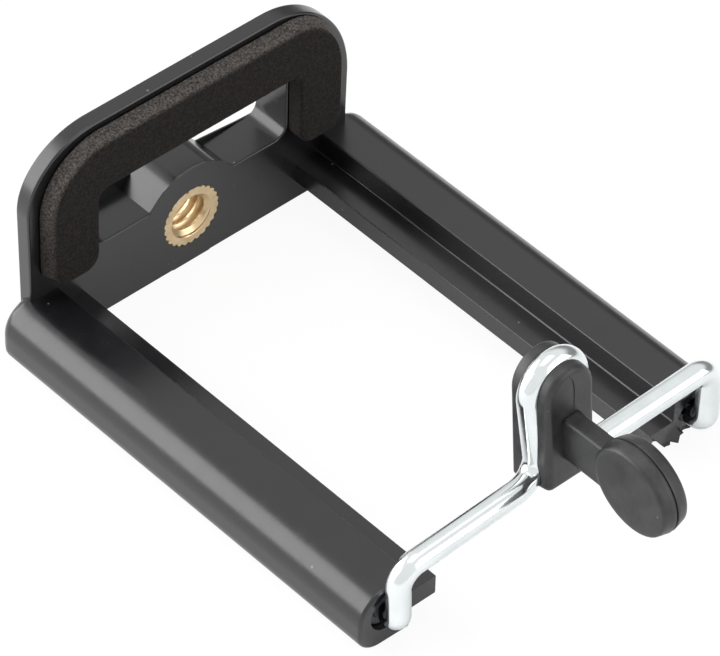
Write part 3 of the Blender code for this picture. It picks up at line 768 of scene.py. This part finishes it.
# Nylon, turned. It is matt and finely scored. Little light reaches it in the mouths, so it is
# drawn greyer than black nylon to show there.
nylon, tree, shader, place = started("matt_black_nylon", 0.5, 1.53)
cloud = add(tree, "TexNoise", {"Vector": place, "Scale": per(1.2), "Detail": 4})
colour = add(tree, "Mix", {
    0: cloud.outputs["Fac"], 6: linear("#4a4a4f"), 7: linear("#6c6c72"),
}, data_type="RGBA")
tree.links.new(colour.outputs[2], shader.inputs["Base Color"])
bump = add(tree, "Bump", {"Height": cloud.outputs["Fac"], "Strength": 0.4, "Distance": 0.05 * MM})
tree.links.new(bump.outputs[0], shader.inputs["Normal"])

bush_profile = [
    (1.62, BUSH_Y + 0.2), (1.72, BUSH_Y + 0.06), (1.9, BUSH_Y), (2.45, BUSH_Y),
    (2.6, BUSH_Y + 0.06), (2.68, BUSH_Y + 0.25), (2.68, BUSH_Y + 3.8), (2.5, BUSH_BACK),
    (1.8, BUSH_BACK), (1.62, BUSH_Y + 3.8),
]
for side_name, side in (("right", 1), ("left", -1)):
    bush = turned_ring(f"bush_{side_name}", bush_profile, side * RAIL_X)
    shaded(bush, nylon)
    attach(bush, "body")
    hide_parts(f"guide_bush_{side_name}")


# Springs and washers. Inside each bore a spring coiled from 0.5 mm steel wire pushes a stamped
# steel washer against the jaw's upset end. The springs shorten as the jaw is pulled out.
SPRING_FROM = BUSH_BACK + 0.26
WASHER_Y = -11.7
SPRING_TO = WASHER_Y - 0.26
SPRING_TURNS = 18
SPRING_RADIUS = 2.1
SPRING_WIRE = 0.25
CLOSED_TURN = 0.55

# Spring steel, drawn to wire and left bare. It is a satin grey, mottled by its drawing marks.
steel, tree, shader, place = started("drawn_spring_steel", 0.3, metallic=1.0)
drawn_marks = add(tree, "TexNoise", {"Vector": place, "Scale": per(0.5), "Detail": 4})
colour = add(tree, "Mix", {
    0: drawn_marks.outputs["Fac"], 6: linear("#8b8c8e"), 7: linear("#b4b5b7"),
}, data_type="RGBA")
tree.links.new(colour.outputs[2], shader.inputs["Base Color"])
shade = add(tree, "MapRange", {"Value": drawn_marks.outputs["Fac"], "To Min": 0.22, "To Max": 0.42})
tree.links.new(shade.outputs[0], shader.inputs["Roughness"])


def spring_line(x):
    """A helix with its first and last turns closed up."""
    line = []
    steps = SPRING_TURNS * 20
    for i in range(steps + 1):
        turn = SPRING_TURNS * i / steps
        closed = CLOSED_TURN * min(turn, 1.0) + CLOSED_TURN * max(0, turn - SPRING_TURNS + 1)
        open_share = min(max(turn - 1, 0), SPRING_TURNS - 2) / (SPRING_TURNS - 2)
        y = SPRING_FROM + closed + (SPRING_TO - SPRING_FROM - 2 * CLOSED_TURN) * open_share
        a = math.tau * turn
        line.append(Vector((x + SPRING_RADIUS * math.cos(a), y, BORE_Z + SPRING_RADIUS * math.sin(a))))
    return line


washer_profile = [
    (1.85, WASHER_Y + 0.1), (1.95, WASHER_Y), (2.35, WASHER_Y), (2.45, WASHER_Y + 0.1),
    (2.45, WASHER_Y + 0.9), (2.35, WASHER_Y + 1.0), (1.95, WASHER_Y + 1.0), (1.85, WASHER_Y + 0.9),
]
for side_name, side in (("right", 1), ("left", -1)):
    x = side * RAIL_X
    spring = tube(f"coil_spring_{side_name}", spring_line(x), SPRING_WIRE, 10)
    shaded(spring, steel, 60)
    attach(spring, "body")
    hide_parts(f"spring_{side_name}")
    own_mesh(spring)
    washer = turned_ring(f"washer_{side_name}", washer_profile, x)
    shaded(washer, steel)
    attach(washer, "jaw")
    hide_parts(f"retaining_washer_{side_name}")


# Camera. A long lens 0.7 m from the clamp, high on its left front, at the angle that the straight
# edges of the rails, plate and bar have in the photo.
CAMERA_AT = Vector((-336.601, -393.099, 485.285)) * MM
camera_right = Vector((0.74246, -0.66957, 0.02057))
camera_up = Vector((0.45396, 0.52548, 0.71958))
camera_back = Vector((-0.49262, -0.52492, 0.69411))
camera_data = bpy.data.cameras.new("camera")
camera_data.lens = 281.08
camera_data.sensor_width = 36
camera_data.clip_start = 0.01
camera = bpy.data.objects.new("camera", camera_data)
camera_axes = Matrix((camera_right, camera_up, camera_back)).transposed().to_4x4()
camera.matrix_world = Matrix.Translation(CAMERA_AT) @ camera_axes
bpy.context.scene.collection.objects.link(camera)
bpy.context.scene.camera = camera


# Floor. A wide sheet of white paper, 0.05 mm under the clamp. The camera sees it nearly white with
# a faint shadow, and the chrome and plastic mirror it bright, fading towards the right.
floor_corners = [(-2000, -2000), (2000, -2000), (2000, 2000), (-2000, 2000)]
floor = solid("floor", [[(x, y, z) for x, y in floor_corners] for z in (-5, -0.05)])
paper = bpy.data.materials.new("white_paper")
paper.use_nodes = True
tree = paper.node_tree
tree.nodes.clear()
rays = add(tree, "LightPath")
matt = add(tree, "BsdfDiffuse", {"Color": linear("#c8c8c8")})
faint = add(tree, "BsdfDiffuse", {"Color": (0.1, 0.1, 0.1, 1)})
glow = add(tree, "Emission", {"Color": (1, 1, 1, 1), "Strength": 0.93})
shown = add(tree, "AddShader", {0: faint.outputs[0], 1: glow.outputs[0]})
bright = add(tree, "BsdfDiffuse", {"Color": (1, 1, 1, 1)})
along = add(tree, "SeparateXYZ", {0: add(tree, "TexCoord").outputs["Object"]})
fade = add(tree, "MapRange", {
    "Value": along.outputs["X"], "From Min": 0.05, "From Max": 0.3, "To Min": 0.25, "To Max": 0.0,
})
fading = add(tree, "Emission", {"Color": (1, 1, 1, 1), "Strength": fade.outputs[0]})
mirrored = add(tree, "AddShader", {0: bright.outputs[0], 1: fading.outputs[0]})
lit = add(tree, "MixShader", {
    0: rays.outputs["Is Glossy Ray"], 1: matt.outputs[0], 2: mirrored.outputs[0],
})
mixed = add(tree, "MixShader", {
    0: rays.outputs["Is Camera Ray"], 1: lit.outputs[0], 2: shown.outputs[0],
})
add(tree, "OutputMaterial", {"Surface": mixed.outputs[0]})
floor.data.materials.append(paper)


# Studio. White walls that light the clamp faintly and show white, with one darker card low on the
# right for the glossy faces to mirror, and three softboxes that the camera doesn't see.
world = bpy.data.worlds.new("studio")
world.use_nodes = True
tree = world.node_tree
tree.nodes.clear()
rays = add(tree, "LightPath")
towards = add(tree, "SeparateXYZ", {0: add(tree, "TexCoord").outputs["Generated"]})
to_right = add(tree, "MapRange", {"Value": towards.outputs["X"], "From Min": 0.35, "From Max": 0.75})
low_down = add(tree, "MapRange", {
    "Value": towards.outputs["Z"], "From Min": 0.35, "From Max": 0.6, "To Min": 1.0, "To Max": 0.0,
})
card = add(tree, "Math", {0: to_right.outputs[0], 1: low_down.outputs[0]}, operation="MULTIPLY")
wall = add(tree, "MapRange", {"Value": card.outputs[0], "To Min": 1.0, "To Max": 0.3})
fill = add(tree, "Background", {"Color": (1, 1, 1, 1), "Strength": 0.3})
mirrored = add(tree, "Background", {"Color": (1, 1, 1, 1), "Strength": wall.outputs[0]})
white = add(tree, "Background", {"Color": (1, 1, 1, 1), "Strength": 1.0})
lit = add(tree, "MixShader", {
    0: rays.outputs["Is Glossy Ray"], 1: fill.outputs[0], 2: mirrored.outputs[0],
})
mixed = add(tree, "MixShader", {
    0: rays.outputs["Is Camera Ray"], 1: lit.outputs[0], 2: white.outputs[0],
})
add(tree, "OutputWorld", {"Surface": mixed.outputs[0]})
bpy.context.scene.world = world

LIT_POINT = Vector((0, -0.035, 0.01))


def softbox(name, at, size, watts):
    """A rectangular lamp turned towards the clamp, which the camera doesn't see."""
    light = bpy.data.lights.new(name, "AREA")
    light.shape = "RECTANGLE"
    light.size, light.size_y = size
    light.energy = watts
    lamp = bpy.data.objects.new(name, light)
    lamp.location = at
    lamp.rotation_euler = (LIT_POINT - Vector(at)).to_track_quat("-Z", "Y").to_euler()
    bpy.context.scene.collection.objects.link(lamp)
    lamp.visible_camera = False


softbox("left softbox", (-0.54, 0.60, 0.42), (1.15, 0.85), 11.5)
softbox("top softbox", (0.1, 0.0, 1.2), (0.7, 0.7), 2.6)
softbox("front softbox", (0.50, -0.83, 0.42), (0.9, 0.7), 3.6)
bpy.context.scene.view_settings.view_transform = "Standard"
